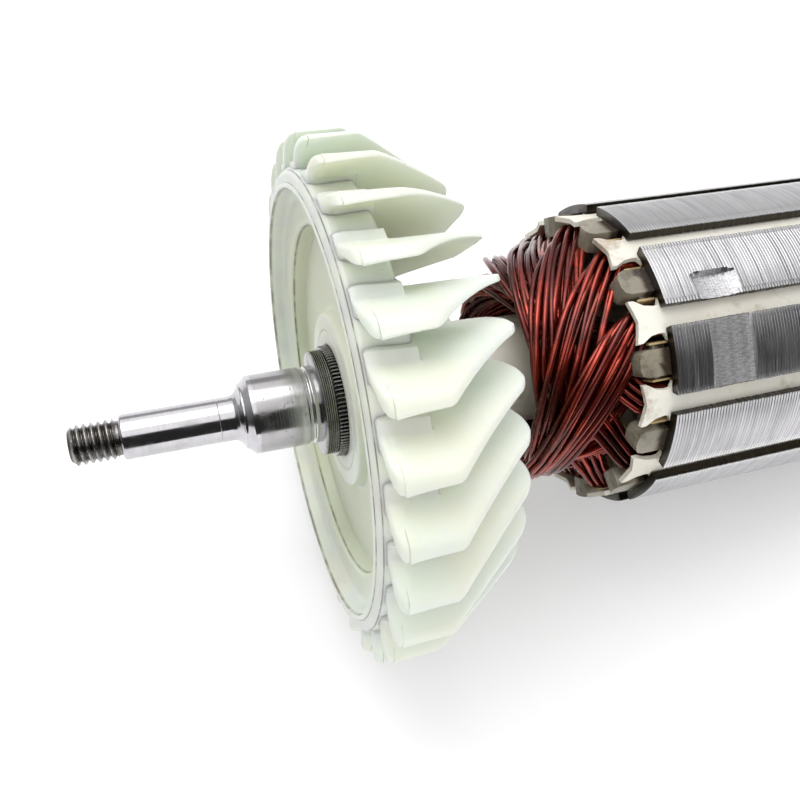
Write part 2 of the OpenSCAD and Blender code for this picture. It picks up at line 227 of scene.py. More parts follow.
def zone(tree, value, low, high, soft):
    # 1 between low and high, with both ends faded inside them
    return times(tree, ramp(tree, value, low, low + soft), ramp(tree, value, high, high - soft))


def nearTo(tree, value, centre, wide, narrow):
    # 1 within narrow of the centre, 0 beyond wide
    return ramp(tree, calc(tree, "ABSOLUTE", calc(tree, "SUBTRACT", value, centre)), wide, narrow)


def blend(tree, factor, first, second):
    return add(tree, "Mix", {"data_type": "RGBA"}, i0=factor, i6=first, i7=second).outputs[2]


def useGroup(tree, group, **links):
    return add(tree, "Group", {"node_tree": group}, **links)


def patches(tree, scale, detail, low, high):
    return useGroup(tree, patchGroup, Scale=scale, Detail=detail, Low=low, High=high).outputs["Mask"]


def objectNoise(tree, scale, detail):
    spot = add(tree, "TexCoord").outputs["Object"]
    return add(tree, "TexNoise", Vector=spot, Scale=scale, Detail=detail).outputs["Fac"]


def axisNoise(tree, axis, lengthways, around, scale, detail):
    # noise drawn out along the axis or round it
    spot = add(tree, "CombineXYZ", X=times(tree, axis.outputs["Station"], lengthways),
               Y=times(tree, axis.outputs["Turn"], around)).outputs[0]
    return add(tree, "TexNoise", Vector=spot, Scale=scale, Detail=detail).outputs["Fac"]


def readMark(tree, key):
    return add(tree, "Attribute", {"attribute_name": key}).outputs["Fac"]


def makeAxisGroup():
    # station along the shaft, radius and turn about it, in millimetres and whole turns
    tree, start, end = newGroup("axisPlace", [], [
        ("Station", "Float"), ("Radius", "Float"), ("Turn", "Float")])
    spot = add(tree, "TexCoord").outputs["Object"]
    moved = add(tree, "VectorMath", {"operation": "SUBTRACT"}, i0=spot, i1=tuple(axisStart)).outputs[0]
    station, x, y = (
        add(tree, "VectorMath", {"operation": "DOT_PRODUCT"}, i0=moved, i1=tuple(way * 1000)).outputs["Value"]
        for way in (along, down, side))
    radius = calc(tree, "SQRT", calc(tree, "ADD", times(tree, x, x), times(tree, y, y)))
    turn = calc(tree, "DIVIDE", calc(tree, "ARCTAN2", y, x), 2 * math.pi)
    for label, value in (("Station", station), ("Radius", radius), ("Turn", turn)):
        tree.links.new(value, end.inputs[label])
    return tree


def makePatchGroup():
    # soft clouds between two thresholds
    tree, start, end = newGroup("softPatches", [
        ("Scale", "Float", 200.0), ("Detail", "Float", 4.0), ("Low", "Float", 0.4), ("High", "Float", 0.6)],
        [("Mask", "Float")])
    spot = add(tree, "TexCoord").outputs["Object"]
    noise = add(tree, "TexNoise", Vector=spot, Scale=start.outputs["Scale"], Detail=start.outputs["Detail"],
                Roughness=0.6).outputs["Fac"]
    mask = ramp(tree, noise, start.outputs["Low"], start.outputs["High"])
    tree.links.new(mask, end.inputs["Mask"])
    return tree


def makeSpeckGroup():
    # small round specks: cells whose own random number is low, near their middle
    tree, start, end = newGroup("specks", [
        ("Scale", "Float", 400.0), ("Size", "Float", 0.15), ("Share", "Float", 0.1)], [("Mask", "Float")])
    size = start.outputs["Size"]
    spot = add(tree, "TexCoord").outputs["Object"]
    cell = add(tree, "TexVoronoi", Vector=spot, Scale=start.outputs["Scale"])
    near = ramp(tree, cell.outputs["Distance"], size, times(tree, size, 0.4))
    chosen = add(tree, "SeparateColor", Color=cell.outputs["Color"]).outputs[0]
    kept = calc(tree, "LESS_THAN", chosen, start.outputs["Share"])
    tree.links.new(times(tree, near, kept), end.inputs["Mask"])
    return tree


def makeLineGroup():
    # turned lines along the axis, each with a tone of its own
    tree, start, end = newGroup("turnedLines", [("Station", "Float", 0.0), ("Spacing", "Float", 0.5)],
                                [("Tone", "Float")])
    count = calc(tree, "DIVIDE", start.outputs["Station"], start.outputs["Spacing"])
    tone = add(tree, "TexWhiteNoise", {"noise_dimensions": "1D"}, W=calc(tree, "FLOOR", count))
    tree.links.new(tone.outputs["Value"], end.inputs["Tone"])
    return tree


axisGroup = makeAxisGroup()
patchGroup = makePatchGroup()
speckGroup = makeSpeckGroup()
lineGroup = makeLineGroup()
print("node groups ready")


def newFinish(name, **values):
    # a material with one Principled shader; plain numbers go on its own sockets
    material = bpy.data.materials.new(name)
    material.use_nodes = True
    tree = material.node_tree
    shader = tree.nodes["Principled BSDF"]
    for key, value in values.items():
        feed(tree, shader.inputs[key.replace("_", " ")], value)
    return material, tree, shader


def wear(tree, shader, mask, low, high):
    # roughness goes from low to high with the mask
    tree.links.new(ramp(tree, mask, 0.0, 1.0, low, high), shader.inputs["Roughness"])


def bumpInto(tree, shader, height, strength, distance=0.0001):
    node = add(tree, "Bump", Height=height, Strength=strength, Distance=distance)
    tree.links.new(node.outputs[0], shader.inputs["Normal"])


def makeNylon():
    look = {
        # the thin colour and its share paint shade on the dish's floor
        "milk": (0.81, 0.88, 0.78), "warm": (0.84, 0.86, 0.72), "thin": (0.62, 0.66, 0.44), "dishShadeShare": 0.55,
        "webFrom": 13.7, "webTo": 26.6, "webStation": 5.0, "line": (0.16, 0.15, 0.10), "faceStation": 3.5,
        "partingStation": 2.36, "partingRadius": 38.2, "speckShare": 0.8,
        # radius and half width of each flash line left by the mould
        "flash": ((32.45, 0.17), (33.30, 0.10), (26.85, 0.13), (34.95, 0.12), (10.9, 0.13))}
    material, tree, shader = newFinish("fanNylon", Roughness=0.36, IOR=1.52, Subsurface_Weight=0.6,
                                       Subsurface_Radius=(0.9, 1.0, 0.7), Subsurface_Scale=0.0024)
    axis = useGroup(tree, axisGroup)
    station, radius = axis.outputs["Station"], axis.outputs["Radius"]
    clouds = patches(tree, 60.0, 3.0, 0.35, 0.7)
    base = blend(tree, clouds, look["milk"], look["warm"])
    # painted shade: where the thin web lies between hub and rim, the dish's floor is blended towards a darker
    # green, for the dark behind it showing through and the shade in the dish
    front = ramp(tree, station, look["webStation"] + 1.2, look["webStation"])
    web = times(tree, ramp(tree, radius, look["webFrom"], look["webFrom"] + 1.5),
                ramp(tree, radius, look["webTo"] + 5.0, look["webTo"]))
    base = blend(tree, times(tree, web, front, look["dishShadeShare"]), base, look["thin"])
    broken = patches(tree, 260.0, 3.0, 0.36, 0.6)
    rings = 0.0
    for ringRadius, width in look["flash"]:
        rings = calc(tree, "MAXIMUM", rings, nearTo(tree, radius, ringRadius, width, width * 0.35))
    face = ramp(tree, station, look["faceStation"] + 0.2, look["faceStation"])
    rings = times(tree, rings, face, calc(tree, "MULTIPLY_ADD", broken, 0.45, 0.35))
    parting = times(tree, nearTo(tree, station, look["partingStation"], 0.09, 0.02),
                    ramp(tree, radius, look["partingRadius"], look["partingRadius"] + 0.6),
                    calc(tree, "MULTIPLY_ADD", broken, 0.35, 0.05))
    specks = useGroup(tree, speckGroup, Scale=520.0, Size=0.055, Share=0.20).outputs["Mask"]
    dark = calc(tree, "MAXIMUM", rings, parting)
    dark = calc(tree, "MAXIMUM", dark, times(tree, specks, look["speckShare"]))
    tree.links.new(blend(tree, dark, base, look["line"]), shader.inputs["Base Color"])
    wear(tree, shader, clouds, 0.30, 0.44)
    bumpInto(tree, shader, objectNoise(tree, 420.0, 4.0), 0.18)
    return material


def makeSteel(name, look):
    # turned steel with a tone for each line and stains in patches, and on some parts pits, rust or dirt
    material, tree, shader = newFinish(name, Metallic=1.0, Roughness=look["roughness"])
    axis = useGroup(tree, axisGroup)
    station, radius = axis.outputs["Station"], axis.outputs["Radius"]
    lines = useGroup(tree, lineGroup, Station=station, Spacing=look["spacing"]).outputs["Tone"]
    clouds = patches(tree, 260.0, 5.0, 0.42, 0.66)
    base = blend(tree, times(tree, lines, look["lineTone"]), look["bright"], look["dull"])
    base = blend(tree, times(tree, clouds, look["stain"]), base, look["stainAndShadeColour"])
    height = lines
    rough = ramp(tree, clouds, 0.0, 1.0, look["roughness"], look["roughness"] + 0.10)
    if "pitFrom" in look:  # storage pits on the bearing seat, and painted shade that makes the whole seat darker
        pits = useGroup(tree, speckGroup, Scale=1500.0, Size=0.34, Share=0.35).outputs["Mask"]
        seat = zone(tree, station, look["pitFrom"], look["pitTo"], 0.6)
        pits = times(tree, pits, patches(tree, 330.0, 2.0, 0.5, 0.58), seat)
        base = blend(tree, times(tree, pits, 0.75), base, look["pitColour"])
        # painted shade: the whole seat goes most of the way to the darker colour, for the darker reflections
        # on it
        base = blend(tree, times(tree, seat, 0.7), base, look["stainAndShadeColour"])
        height = calc(tree, "SUBTRACT", height, times(tree, pits, 3.0))
        rough = calc(tree, "ADD", rough, times(tree, seat, 0.06))
    if "threadEnd" in look:  # rust and old grease lie in the thread's roots
        inThread = ramp(tree, station, look["threadEnd"], look["threadEnd"] - 0.5)
        deep = ramp(tree, radius, look["rootRadius"] + 0.5, look["rootRadius"] + 0.1)
        rust = calc(tree, "MULTIPLY_ADD", patches(tree, 700.0, 4.0, 0.3, 0.62), 0.30, 0.20)
        share = times(tree, inThread, calc(tree, "MULTIPLY_ADD", deep, 0.50, rust))
        base = blend(tree, share, base, look["rustColour"])
        rough = calc(tree, "ADD", rough, times(tree, inThread, 0.14))
    if "knurlFrom" in look:  # painted shade, near black, between the rings and between the knurl's teeth
        lowRing = ramp(tree, radius, look["ringRadius"] - 0.03, look["ringRadius"] - 0.14)
        lowTooth = times(tree, ramp(tree, radius, look["toothRadius"] - 0.08, look["toothRadius"] - 0.26),
                         ramp(tree, station, look["knurlFrom"], look["knurlFrom"] + 0.1))
        behind = ramp(tree, station, look["ringFrom"] - 0.1, look["ringFrom"] + 0.1)
        share = times(tree, calc(tree, "MAXIMUM", lowRing, lowTooth), behind, 0.93)
        base = blend(tree, share, base, look["grooveShade"])
    tree.links.new(base, shader.inputs["Base Color"])
    tree.links.new(rough, shader.inputs["Roughness"])
    bumpInto(tree, shader, height, look["bump"], 0.00003)
    return material


def makeLaminationSteel():
    look = {
        "bright": (0.60, 0.59, 0.61), "dull": (0.49, 0.485, 0.495), "stain": (0.36, 0.355, 0.35),
        "stainShare": 0.30, "seam": (0.12, 0.12, 0.12), "seamShare": 0.50, "burr": (0.88, 0.88, 0.88),
        # the last colour, near black, is varnish on the stack's ends and painted shade in the slots
        "burrShare": 0.75, "markShare": 0.22, "ground": (0.86, 0.85, 0.86), "nearBlack": (0.045, 0.040, 0.030)}
    material, tree, shader = newFinish("laminationSteel", Metallic=1.0, Roughness=0.34)
    sheet, face, seam, edge, ground = (readMark(tree, key) for key in (
        "sheetTone", "outerFace", "sheetSeam", "toothEdge", "groundFlat"))
    axis = useGroup(tree, axisGroup)
    clouds = patches(tree, 90.0, 5.0, 0.36, 0.68)
    turned = axisNoise(tree, axis, 0.9, 9.0, 2.2, 4.0)  # turning marks wander a little from sheet to sheet
    base = blend(tree, sheet, look["bright"], look["dull"])
    base = blend(tree, times(tree, clouds, look["stainShare"]), base, look["stain"])
    base = blend(tree, times(tree, ramp(tree, turned, 0.45, 0.62), look["markShare"]), base, look["burr"])
    base = blend(tree, times(tree, seam, look["seamShare"]), base, look["seam"])
    burr = times(tree, edge, calc(tree, "SUBTRACT", 1.0, seam), look["burrShare"])
    base = blend(tree, burr, base, look["burr"])
    base = blend(tree, times(tree, edge, seam, 0.9), base, look["nearBlack"])
    scratch = axisNoise(tree, axis, 0.7, 420.0, 1.6, 3.0)  # left by the grinder, along the axis
    polished = blend(tree, ramp(tree, scratch, 0.22, 0.72), look["dull"], look["ground"])
    base = blend(tree, ground, base, polished)
    # painted shade: off the outer faces, down the slot walls and floors beside the wedges, the steel goes
    # near black, and on the stack's two ends the same colour is varnish
    base = blend(tree, face, look["nearBlack"], base)
    tree.links.new(base, shader.inputs["Base Color"])
    rough = calc(tree, "ADD", times(tree, sheet, 0.06), ramp(tree, clouds, 0.0, 1.0, 0.27, 0.37))
    rough = calc(tree, "ADD", rough, times(tree, ground, 0.22))
    tree.links.new(rough, shader.inputs["Roughness"])
    bumpInto(tree, shader, calc(tree, "ADD", turned, times(tree, scratch, ground)), 0.2, 0.00004)
    return material


def makeEnamel():
    look = {"dark": (0.075, 0.006, 0.005), "bright": (0.50, 0.052, 0.024), "nearBlack": (0.022, 0.008, 0.005),
            "nearBlackShare": 0.6}
    material, tree, shader = newFinish("wireEnamel", Metallic=0.85, Roughness=0.24, Coat_Weight=0.60,
                                       Coat_Roughness=0.12)
    clouds = patches(tree, 150.0, 3.0, 0.38, 0.62)
    share = times(tree, calc(tree, "MULTIPLY_ADD", readMark(tree, "wireTone"), 0.85, 0.10),
                  ramp(tree, clouds, 0.0, 1.0, 0.35, 1.0))
    base = blend(tree, share, look["dark"], look["bright"])
    runs = patches(tree, 95.0, 3.0, 0.50, 0.64)  # impregnating varnish has run dark in places
    base = blend(tree, times(tree, runs, look["nearBlackShare"]), base, look["nearBlack"])
    tree.links.new(base, shader.inputs["Base Color"])
    wear(tree, shader, clouds, 0.30, 0.19)
    bumpInto(tree, shader, objectNoise(tree, 1100.0, 2.0), 0.18)
    return material


def makePlain(name, look, **values):
    # a moulded or pressed material: two tones in clouds, stains in patches, fine grain
    material, tree, shader = newFinish(name, Roughness=look["roughness"], **values)
    clouds = patches(tree, look["cloudScale"], 4.0, 0.35, 0.68)
    stains = patches(tree, look["stainScale"], 5.0, look["stainLow"], look["stainLow"] + 0.14)
    base = blend(tree, clouds, look["colour"], look["second"])
    base = blend(tree, times(tree, stains, look["stainShare"]), base, look["stain"])
    if "coreFaces" in look:  # varnish lies thick against the core's two faces, and the near-black there is also painted shade in the recess behind the lugs
        station = useGroup(tree, axisGroup).outputs["Station"]
        away = calc(tree, "MAXIMUM", calc(tree, "SUBTRACT", look["coreFaces"][0], station),
                    calc(tree, "SUBTRACT", station, look["coreFaces"][1]))
        away = calc(tree, "ADD", away, times(tree, stains, -look["creep"]))
        share = times(tree, ramp(tree, away, look["nearBlackTo"], look["nearBlackFrom"]), look["nearBlackShare"])
        base = blend(tree, share, base, look["nearBlack"])
    tree.links.new(base, shader.inputs["Base Color"])
    wear(tree, shader, clouds, look["roughness"] - 0.05, look["roughness"] + 0.08)
    bumpInto(tree, shader, objectNoise(tree, look["grainScale"], 3.0), look["bump"])
    return material


def makeCopper():
    look = {"bright": (0.80, 0.42, 0.26), "dull": (0.55, 0.27, 0.16), "track": (0.30, 0.15, 0.10),
            "trackFrom": 128.0, "trackTo": 143.5, "spacing": 0.12}
    material, tree, shader = newFinish("commutatorCopper", Metallic=1.0, Roughness=0.28)
    station = useGroup(tree, axisGroup).outputs["Station"]
    lines = useGroup(tree, lineGroup, Station=station, Spacing=look["spacing"]).outputs["Tone"]
    clouds = patches(tree, 180.0, 4.0, 0.4, 0.66)
    base = blend(tree, lines, look["bright"], look["dull"])
    share = times(tree, zone(tree, station, look["trackFrom"], look["trackTo"], 1.0),
                  calc(tree, "MULTIPLY_ADD", clouds, 0.3, 0.35))
    tree.links.new(blend(tree, share, base, look["track"]), shader.inputs["Base Color"])
    wear(tree, shader, clouds, 0.24, 0.42)
    bumpInto(tree, shader, lines, 0.25, 0.00003)
    return material


nylonFinish = makeNylon()
laminationFinish = makeLaminationSteel()
enamelFinish = makeEnamel()
copperFinish = makeCopper()
ringFinish = makeSteel("ringSteel", {
    "bright": (0.50, 0.49, 0.49), "dull": (0.40, 0.395, 0.39), "stainAndShadeColour": (0.22, 0.21, 0.20),
    "spacing": 0.14, "lineTone": 0.8, "stain": 0.4, "roughness": 0.26, "bump": 0.2})
wedgeFinish = makePlain("wedgeBoard", {
    "colour": (0.91, 0.89, 0.80), "second": (0.84, 0.80, 0.69), "cloudScale": 90.0,
    "stain": (0.30, 0.19, 0.09), "stainLow": 0.56, "stainShare": 0.6, "stainScale": 150.0,
    "grainScale": 1600.0, "roughness": 0.50, "bump": 0.22})
paperFinish = makePlain("slotPaper", {
    "colour": (0.62, 0.47, 0.24), "second": (0.50, 0.36, 0.16), "cloudScale": 160.0,
    "stain": (0.16, 0.08, 0.04), "stainLow": 0.50, "stainShare": 0.65, "stainScale": 260.0,
    "grainScale": 2600.0, "roughness": 0.66, "bump": 0.4})
insulatorFinish = makePlain("greyInsulator", {
    "colour": (0.33, 0.30, 0.235), "second": (0.24, 0.22, 0.17), "cloudScale": 150.0,
    "stain": (0.09, 0.065, 0.04), "stainLow": 0.50, "stainShare": 0.6, "stainScale": 260.0,
    # the near-black colour close to the core's faces is varnish and painted shade in the recess behind the
    # lugs
    "coreFaces": (axisPlan["coreStart"], axisPlan["coreEnd"]), "nearBlack": (0.030, 0.018, 0.010),
    "nearBlackFrom": 0.8, "nearBlackTo": 2.0, "nearBlackShare": 0.94, "creep": 0.8,
    "grainScale": 900.0, "roughness": 0.30, "bump": 0.2},
    Subsurface_Weight=0.35, Subsurface_Radius=(1.0, 1.0, 0.9), Subsurface_Scale=0.0012)
sleeveFinish = makePlain("sleeveResin", {
    "colour": (0.80, 0.76, 0.68), "second": (0.72, 0.67, 0.58), "cloudScale": 120.0,
    "stain": (0.38, 0.24, 0.15), "stainLow": 0.6, "stainShare": 0.4, "stainScale": 160.0,
    "grainScale": 1200.0, "roughness": 0.42, "bump": 0.15})
resinFinish = makePlain("commutatorResin", {
    "colour": (0.085, 0.045, 0.03), "second": (0.06, 0.03, 0.02), "cloudScale": 140.0,
    "stain": (0.13, 0.09, 0.07), "stainLow": 0.55, "stainShare": 0.5, "stainScale": 300.0,
    "grainScale": 1500.0, "roughness": 0.33, "bump": 0.15})
print("finishes ready")


shaftPlan = {
    "segments": 128, "nose": -35.6, "threadRadius": 2.98, "threadDepth": 0.58, "threadPitch": 1.0,
    "threadLength": 7.2, "pinionRadius": 3.36, "pinionEnd": -12.6, "scribedLine": -14.32, "seatRadius": 6.0,
    "seatStart": -9.7, "seatEnd": -1.6, "undercut": 0.35, "bodyRadius": 7.0, "bodyStart": 22.5,
    "bodyEnd": 121.9, "commutatorRadius": 6.8, "commutatorEnd": 147.8, "shoulderRadius": 6.2,
    "rearStart": 150.8, "rearRadius": 5.0, "tail": 163.3}
shaftFinish = makeSteel("shaftSteel", {
    "bright": (0.60, 0.59, 0.61), "dull": (0.54, 0.53, 0.55), "spacing": 0.16, "lineTone": 0.7,
    # the darker colour is both the stains' and the painted shade over the bearing seat
    "stainAndShadeColour": (0.38, 0.37, 0.37), "stain": 0.35, "roughness": 0.11, "bump": 0.12,
    "pitFrom": shaftPlan["seatStart"] + 0.3, "pitTo": shaftPlan["seatEnd"] - 0.8,
    "threadEnd": shaftPlan["nose"] + shaftPlan["threadLength"] + 0.1,
    "rootRadius": shaftPlan["threadRadius"] - shaftPlan["threadDepth"] - 0.1,
    "pitColour": (0.09, 0.085, 0.08), "rustColour": (0.075, 0.065, 0.042)})


def makeShaft(plan):
    # radius as a function of station, plus a helical ridge on the nose: depth times a rounded saw of
    # (station over pitch minus turn), faded out at both ends of the thread
    nose, thread, pinion, seat = plan["nose"], plan["threadRadius"], plan["pinionRadius"], plan["seatRadius"]
    threadEnd, neck, tail = nose + plan["threadLength"], plan["pinionEnd"], plan["tail"]
    scribed, undercut = plan["scribedLine"], plan["undercut"]
    body, commutator, shoulder, rear = (plan[key] for key in (
        "bodyRadius", "commutatorRadius", "shoulderRadius", "rearRadius"))
    corners = np.array([
        (0.9, nose + 0.25), (1.0, nose), (thread - 0.75, nose), (thread - 0.05, nose + 0.7),
        (thread, threadEnd - 0.9), (thread - 0.45, threadEnd - 0.6), (thread - 0.45, threadEnd - 0.2),
        (pinion - 0.22, threadEnd), (pinion, threadEnd + 0.25),
        (pinion, scribed - 0.08), (pinion - 0.06, scribed), (pinion, scribed + 0.08),
        (pinion, neck), (pinion + 0.12, neck + 0.55), (pinion + 0.5, neck + 1.05), (4.5, neck + 1.45),
        (seat - 1.05, neck + 1.62), (seat - 0.98, plan["seatStart"] - 0.98), (seat, plan["seatStart"]),
        (seat, plan["seatEnd"]), (seat - undercut, plan["seatEnd"] + 0.12),
        (seat - undercut, plan["seatEnd"] + 0.72), (seat, plan["seatEnd"] + 0.9),
        (seat, plan["bodyStart"]), (body, plan["bodyStart"]), (body, plan["bodyEnd"]),
        (commutator, plan["bodyEnd"]), (commutator, plan["commutatorEnd"]),
        (shoulder, plan["commutatorEnd"] + 0.4), (shoulder, plan["rearStart"]),
        (rear, plan["rearStart"] + 0.02), (rear, tail - 0.8), (rear - 0.75, tail), (1.1, tail),
        (0.9, tail - 0.3)])
    bends = roundedProfile(corners, 0.10)[4:-3]
    ridge = np.arange(nose + 0.75, threadEnd - 0.9, plan["threadPitch"] / 14)
    profile = np.concatenate([bends, np.stack([np.full(len(ridge), thread), ridge], axis=1)])
    first, last = nose + 0.72, threadEnd - 0.92
    inside = profile[(profile[:, 1] > first) & (profile[:, 1] < last)]
    profile = np.concatenate([bends[bends[:, 1] <= first], inside[np.argsort(inside[:, 1])],
                              bends[bends[:, 1] >= last]])
    turn = fullTurn(plan["segments"])[:, None]
    radius, station = profile[None, :, 0], profile[None, :, 1]
    phase = (station - nose) / plan["threadPitch"] - turn / (2 * math.pi)
    saw = np.abs((phase % 1) * 2 - 1)  # 0 in the root, 1 on the crest
    saw = np.clip((saw - 0.10) / 0.78, 0, 1)
    reach = np.clip((threadEnd - 0.5 - station) / 0.5, 0, 1) * np.clip((station - nose + 0.1) / 0.4, 0, 1)
    inThread = (station < threadEnd - 0.5) & (radius > thread - 0.8) & (station > nose - 0.001)
    cut = np.minimum(radius, thread - plan["threadDepth"] * (reach - saw))
    radius = np.where(inThread, cut, np.broadcast_to(radius, saw.shape))
    rows, columns = radius.shape
    ends = place(np.zeros(2), np.zeros(2), np.array([nose + 0.3, tail - 0.35]))
    points = np.concatenate([spin(radius, turn, station).reshape(-1, 3), ends])
    ring = np.arange(rows)
    following = (ring + 1) % rows
    capNose = np.stack([ring, following, np.full(rows, rows)], axis=1) * columns
    capTail = np.stack([following * columns + columns - 1, ring * columns + columns - 1,
                        np.full(rows, rows * columns + 1)], axis=1)
    faces = [gridFaces(rows, columns, True, False)[:, ::-1], capNose, capTail]
    return buildPiece("shaftTurned", points, faces, shaftFinish, ["shaft"], sharp=30)


makeShaft(shaftPlan)


bushPlan = {
    "teeth": 86, "toothPoints": 4, "toothDepth": 0.42, "bore": 6.02, "radius": 8.65, "ringRadius": 8.1,
    "rings": 6, "ringPitch": 0.30, "ringStart": 0.5, "grooveDepth": 0.2, "knurlStart": 2.3, "end": 21.6,
    "chamfer": 0.2}
bushFinish = makeSteel("bushSteel", {
    "bright": (0.36, 0.355, 0.35), "dull": (0.24, 0.235, 0.23), "spacing": 0.14, "lineTone": 0.8,
    "stainAndShadeColour": (0.10, 0.095, 0.09), "stain": 0.4, "roughness": 0.24, "bump": 0.2,
    "ringRadius": bushPlan["ringRadius"], "ringFrom": bushPlan["ringStart"] - 0.05,
    "toothRadius": bushPlan["radius"], "knurlFrom": bushPlan["knurlStart"],
    # the last colour is painted shade for the grooves
    "grooveShade": (0.022, 0.02, 0.016)})


def makeBush(plan):
    # a lathe loop whose knurled part is a square wave of the turn
    outer, ring, knurl, chamfer = plan["radius"], plan["ringRadius"], plan["knurlStart"], plan["chamfer"]
    depth, segments = plan["grooveDepth"], plan["teeth"] * plan["toothPoints"]
    grooves = [(ring - drop, plan["ringStart"] + (k + share) * plan["ringPitch"])
               for k in range(plan["rings"])
               for share, drop in ((0.0, 0.0), (0.48, 0.0), (0.62, depth), (0.88, depth))]
    profile = np.array([(plan["bore"], 0.25), (ring - 0.55, 0.2), (ring - 0.1, 0.38)] + grooves + [
        (ring - depth, knurl - 0.02), (outer - chamfer, knurl), (outer, knurl + 0.15), (outer, 5.0),
        (outer, plan["end"] - chamfer), (outer - chamfer, plan["end"]), (plan["bore"], plan["end"])])
    radius, station = profile[None, :, 0], profile[None, :, 1]
    gap = (np.arange(segments) % plan["toothPoints"] < plan["toothPoints"] / 2)[:, None]
    knurled = (station > knurl) & (radius > ring + 0.1)
    radius = np.where(gap & knurled, radius - plan["toothDepth"], radius)
    points = spin(radius, fullTurn(segments)[:, None], station)
    faces = [gridFaces(segments, len(profile), True, True)]
    return buildPiece("bushKnurled", points, faces, bushFinish, ["fan_bush"], sharp=25)


makeBush(bushPlan)


fanPlan = {
    "radius": 40.1, "blades": 28, "length": 22.2, "knee": 9.324, "tipRadius": 31.52, "rootRadius": 21.3,
    "rimRadius": 35.3, "openRadius": 32.4, "stepRadius": 26.8, "hubRadius": 13.5, "bushRadius": 8.67,
    "hubFace": 3.5, "web": 7.4, "floor": 5.2, "leanOuter": 50.0, "leanInner": -4.0, "frontThick": 1.7,
    "kneeThick": 1.12, "tipThick": 0.85, "fillet": 1.3, "partingStation": 2.3, "partingStep": 0.12,
    "frontEnd": 1.0, "frontFoot": 33.3, "corner": 0.32, "discSegments": 256}


def makeFanDisc(plan):
    # the disc is a closed outline of radius and station carried round the axis
    hub, step, rim, bush, opening = (plan[key] for key in (
        "hubRadius", "stepRadius", "rimRadius", "bushRadius", "openRadius"))
    face, floor, web, rear = plan["hubFace"], plan["floor"], plan["web"], plan["length"] - 0.5
    corners = [
        (bush, face), (10.75, face), (10.9, face + 0.25), (11.1, face), (hub - 0.2, face), (hub, face + 0.2),
        (hub + 0.3, floor), (step - 0.6, floor), (step, 3.2), (step + 0.45, 2.7), (opening - 1.2, 2.7),
        (opening - 0.5, 2.1), (opening, 0.2), (opening + 0.25, 0.0), (opening + 0.75, 0.05),
        (opening + 0.95, 0.28), (rim - 0.8, 0.3), (rim, 1.0), (rim, web - 0.6), (rim - 0.8, web),
        (hub + 0.9, web), (hub - 0.4, web + 1.5), (hub - 1.0, rear - 0.4), (hub - 1.4, rear), (bush, rear)]
    return turnedRing(roundedProfile(corners, 0.30), plan["discSegments"])


def bladeLine(plan):
    # centre line of a blade's section: its lean falls in even steps from the outer to the inner end
    depth = (plan["radius"] - plan["rootRadius"]) * 1.2
    reach = np.linspace(0, depth, 241)
    lean = np.radians(plan["leanOuter"] - (plan["leanOuter"] - plan["leanInner"]) * reach / depth)
    step, between = reach[1] - reach[0], lean[:-1] + (lean[1] - lean[0]) / 2
    x = plan["radius"] - np.concatenate([[0], np.cumsum(np.cos(between))]) * step
    y = -np.concatenate([[0], np.cumsum(np.sin(between))]) * step
    # one short stretch beyond the outer end, so that the cylinder can cut the sides
    x = np.concatenate([[x[0] + 3 * math.cos(lean[0])], x])
    y = np.concatenate([[y[0] + 3 * math.sin(lean[0])], y])
    return x, y, np.concatenate([[lean[0]], lean])


def sideBetween(x, y, lean, half, inner, middle, outer):
    # points of one side of the section, at even radii from the outer limit to the middle and to the inner one
    sx, sy = x - half * np.sin(lean), y + half * np.cos(lean)
    radius = np.hypot(sx, sy)
    order = np.argsort(radius)
    wanted = np.concatenate([np.linspace(outer, middle, 9), np.linspace(middle, inner, 7)[1:]])
    return np.stack([np.interp(wanted, radius[order], values[order]) for values in (sx, sy)], axis=1)


def roundedEnd(left, right, soft):
    # both corners are drawn in, and three points between them stay on the section's outer arc
    share = np.array([0.8, 0.5, 0.2])[:, None]
    arc = left[0] * share + right[0] * (1 - share)
    arc *= np.hypot(*right[0]) / np.hypot(arc[:, 0], arc[:, 1])[:, None]
    for side in (left, right):
        way = side[1] - side[0]
        length = max(np.hypot(*way), 1e-6)
        side[0] = side[0] + way / length * min(soft, length * 0.5)
    return arc


